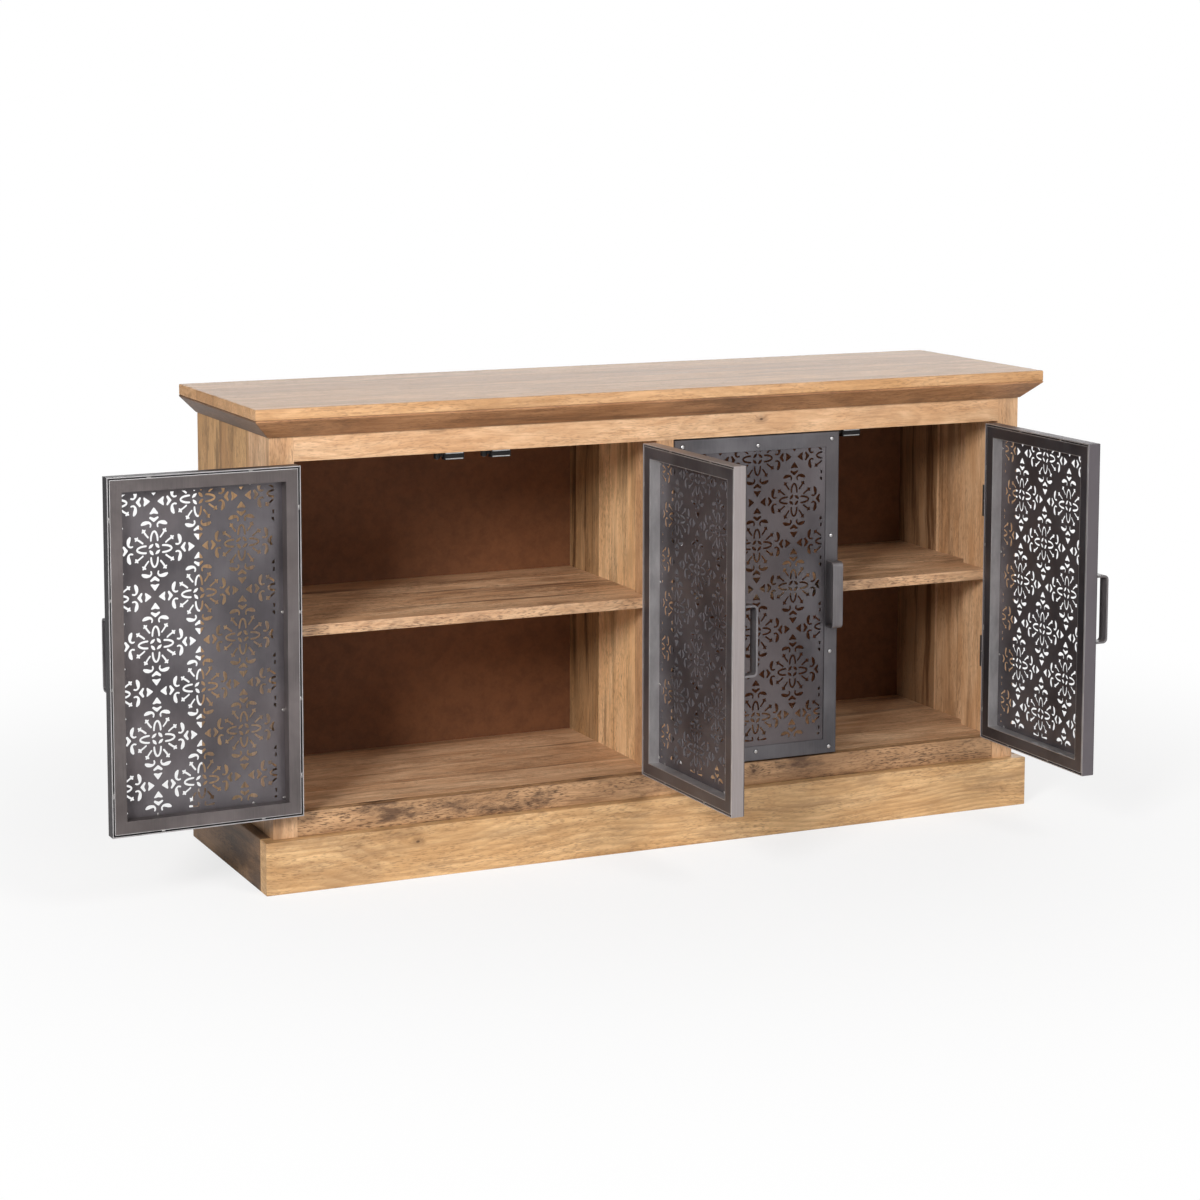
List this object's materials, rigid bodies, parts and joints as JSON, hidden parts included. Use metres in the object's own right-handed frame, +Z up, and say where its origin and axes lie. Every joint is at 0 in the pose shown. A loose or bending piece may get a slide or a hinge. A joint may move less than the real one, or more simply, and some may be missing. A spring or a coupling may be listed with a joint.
{
  "type": "sideboard buffet",
  "caption": "Low wooden sideboard with a crown moulding, a plinth, shelves behind inset hinged steel doors with cut ornamental sheets, and strap handles.",
  "frame": {"origin": "on the floor, at the middle of the plinth's footprint", "axes": "+Z up, +X to the right along the cabinet's length, -Y towards the front with the doors"},
  "size_m": [1.8671, 0.7735, 0.862],
  "materials": {
    "top_wood": "oiled mango wood, pinkish tan, edge-glued boards",
    "moulding_wood": "oiled mango wood, a shade darker",
    "frame_wood": "oiled mango wood, honey tan with knots",
    "carcass_wood": "oiled mango wood staves, upright grain",
    "shelf_wood": "oiled mango wood, grain along the length",
    "plinth_wood": "oiled mango wood, yellowish tan with cathedral grain",
    "back_board": "brown fibreboard, matt",
    "door_steel": "dark grey brushed steel, satin lacquer",
    "sheet_steel": "dark grey cut sheet steel, satin lacquer",
    "inner_steel": "grey welded steel, satin lacquer",
    "rivet_steel": "domed steel rivets, worn bright on top",
    "handle_steel": "dark grey bent steel strap, satin lacquer",
    "hinge_steel": "dark plain steel",
    "bright_steel": "bright zinc-plated steel",
    "catch_plastic": "black matt plastic"
  },
  "bodies": {
    "cabinet": {"top_slab": "top_wood", "crown_front": "moulding_wood", "crown_left": "moulding_wood", "crown_right": "moulding_wood", "left_post": "frame_wood", "right_post": "frame_wood", "centre_stile": "frame_wood", "top_rail": "frame_wood", "bottom_rail": "frame_wood", "left_side_panel": "carcass_wood", "right_side_panel": "carcass_wood", "partition": "carcass_wood", "bottom_board": "carcass_wood", "left_shelf": "shelf_wood", "right_shelf": "shelf_wood", "left_back_panel": "back_board", "right_back_panel": "back_board", "rear_rail": "carcass_wood", "plinth_front": "plinth_wood", "plinth_left": "plinth_wood", "plinth_right": "plinth_wood", "plinth_back": "plinth_wood", "plinth_bearer": "plinth_wood", "plinth_glue_blocks": "plinth_wood", "catch_bodies": "catch_plastic", "catch_pole_plates": "bright_steel", "catch_screws": "hinge_steel", "back_panel_screws": "bright_steel", "frame_hinge_leaves": "hinge_steel", "hinge_pins": "bright_steel", "hinge_screws": "bright_steel"},
    "door_1": {"door_1_frame": "door_steel", "door_1_sheet": "sheet_steel", "door_1_inner_frame": "inner_steel", "door_1_rivets": "rivet_steel", "door_1_handle": "handle_steel", "door_1_hinge_leaves": "hinge_steel"},
    "door_2": {"door_2_frame": "door_steel", "door_2_sheet": "sheet_steel", "door_2_inner_frame": "inner_steel", "door_2_rivets": "rivet_steel", "door_2_handle": "handle_steel", "door_2_hinge_leaves": "hinge_steel"},
    "door_3": {"door_3_frame": "door_steel", "door_3_sheet": "sheet_steel", "door_3_inner_frame": "inner_steel", "door_3_rivets": "rivet_steel", "door_3_handle": "handle_steel", "door_3_hinge_leaves": "hinge_steel"},
    "door_4": {"door_4_frame": "door_steel", "door_4_sheet": "sheet_steel", "door_4_inner_frame": "inner_steel", "door_4_rivets": "rivet_steel", "door_4_handle": "handle_steel", "door_4_hinge_leaves": "hinge_steel"}
  },
  "joints": [
    {"name": "door_1_hinge", "type": "hinge", "parent": "cabinet", "child": "door_1", "pos_m": [-0.7185, -0.204, 0.4515], "axis": [0, 0, -1], "range_deg": [-178, 2]},
    {"name": "door_2_hinge", "type": "hinge", "parent": "cabinet", "child": "door_2", "pos_m": [-0.0185, -0.204, 0.4515], "axis": [0, 0, 1], "range_deg": [-91, 0]},
    {"name": "door_3_hinge", "type": "hinge", "parent": "cabinet", "child": "door_3", "pos_m": [0.0185, -0.204, 0.4515], "axis": [0, 0, -1], "range_deg": [0, 87]},
    {"name": "door_4_hinge", "type": "hinge", "parent": "cabinet", "child": "door_4", "pos_m": [0.7185, -0.204, 0.4515], "axis": [0, 0, 1], "range_deg": [-90, 90]}
  ]
}
